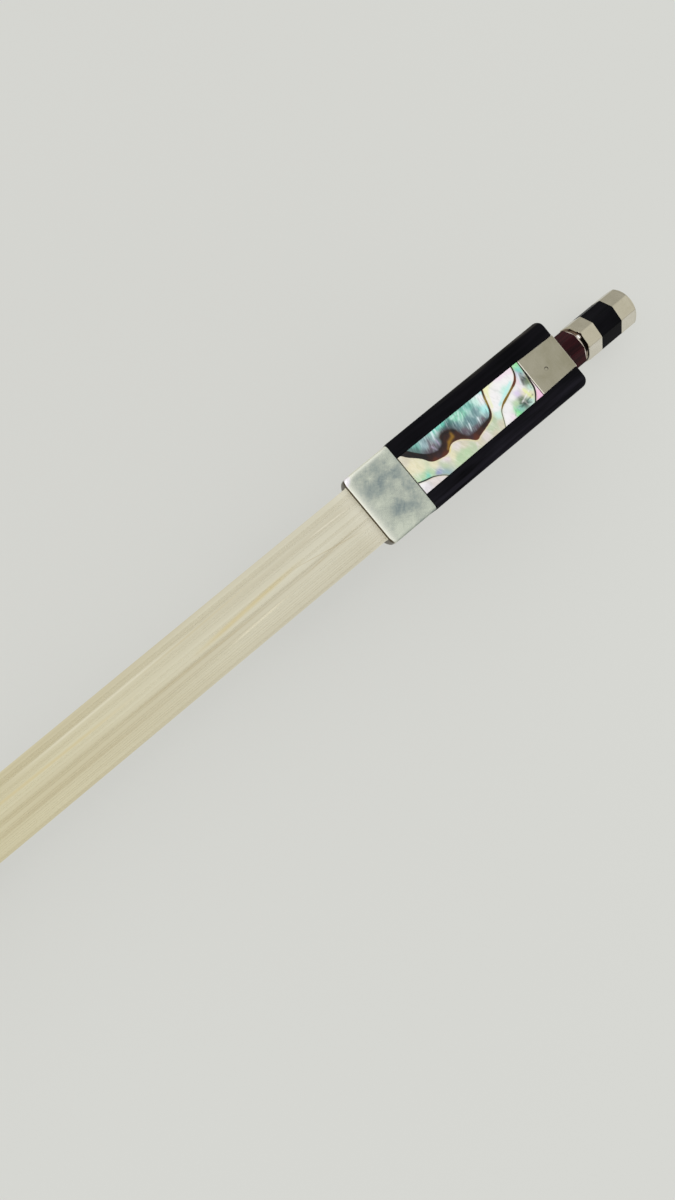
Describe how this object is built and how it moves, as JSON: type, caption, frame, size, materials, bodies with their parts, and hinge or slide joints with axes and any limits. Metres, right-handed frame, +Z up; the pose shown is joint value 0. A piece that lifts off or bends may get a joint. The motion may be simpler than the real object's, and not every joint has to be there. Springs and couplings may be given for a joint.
{
  "type": "viola bow",
  "caption": "Full-size viola bow: octagonal cambered stick with a carved head, sliding frog with ferrule and shell slide, screw button, thumb leather, winding and a flat hair ribbon.",
  "frame": {"origin": "under the middle of the bow's length and width, on the surface that it lies on, hair side up", "axes": "+X along the stick from the head to the button, +Z up through the hair, Y across the bow; the plane Y = 0 holds the stick's axis and the middle of the hair"},
  "size_m": [0.748, 0.0156, 0.0304],
  "materials": {
    "stick_wood": "dark red-brown wood, oiled and polished, fine straight grain",
    "ebony": "black ebony, hand polished to a soft sheen",
    "wedge_wood": "plain pale maple, cut clean",
    "nickel_silver": "satin nickel silver with a faint yellow-grey tarnish",
    "silver_wire": "drawn silver wire",
    "steel": "plain steel",
    "brass": "plain brass",
    "abalone": "polished abalone shell, iridescent teal, lilac and cream with dark wavy veins",
    "horse_hair": "pale cream horse hair in a flat hank",
    "bone": "smooth bone",
    "black_fibre": "matt black fibre",
    "leather": "dark brown grained leather, worn at its edges"
  },
  "bodies": {
    "stick": {"stick": "stick_wood", "head_plate": "bone", "head_plate_liner": "black_fibre", "head_hair_knot": "horse_hair", "head_wedge": "wedge_wood", "thumb_leather": "leather", "winding": "silver_wire", "hair_ribbon": "horse_hair"},
    "frog": {"frog_body": "ebony", "ferrule": "nickel_silver", "ferrule_wedge": "wedge_wood", "frog_hair_tail": "horse_hair", "frog_mortise_plug": "wedge_wood", "slide_shell": "abalone", "slide_bed": "ebony", "heel_plate_lower": "nickel_silver", "heel_plate_rear": "nickel_silver", "heel_pin_lower": "nickel_silver", "heel_pin_rear": "nickel_silver", "underslide": "nickel_silver", "underslide_pin_front": "nickel_silver", "underslide_pin_rear": "nickel_silver", "eyelet": "brass", "eye_disc_left": "abalone", "eye_disc_right": "abalone", "eye_ring_left": "nickel_silver", "eye_ring_right": "nickel_silver"},
    "screw": {"screw": "steel", "button_ring": "nickel_silver", "button_core": "ebony", "button_cap": "nickel_silver"}
  },
  "joints": [
    {"name": "button_spin", "type": "hinge", "parent": "stick", "child": "screw", "pos_m": [0.3578, 0, 0.0055], "axis": [-1, 0, 0], "range_deg": [-774, 3860]},
    {"name": "frog_slide", "type": "slide", "parent": "stick", "child": "frog", "axis": [1, 0, 0], "range_m": [-0.0015, 0.0075], "deforming": ["hair_ribbon"]}
  ],
  "couplings": [
    {"joint": "button_spin", "follows": "frog_slide", "rad_per_m": 8976}
  ]
}
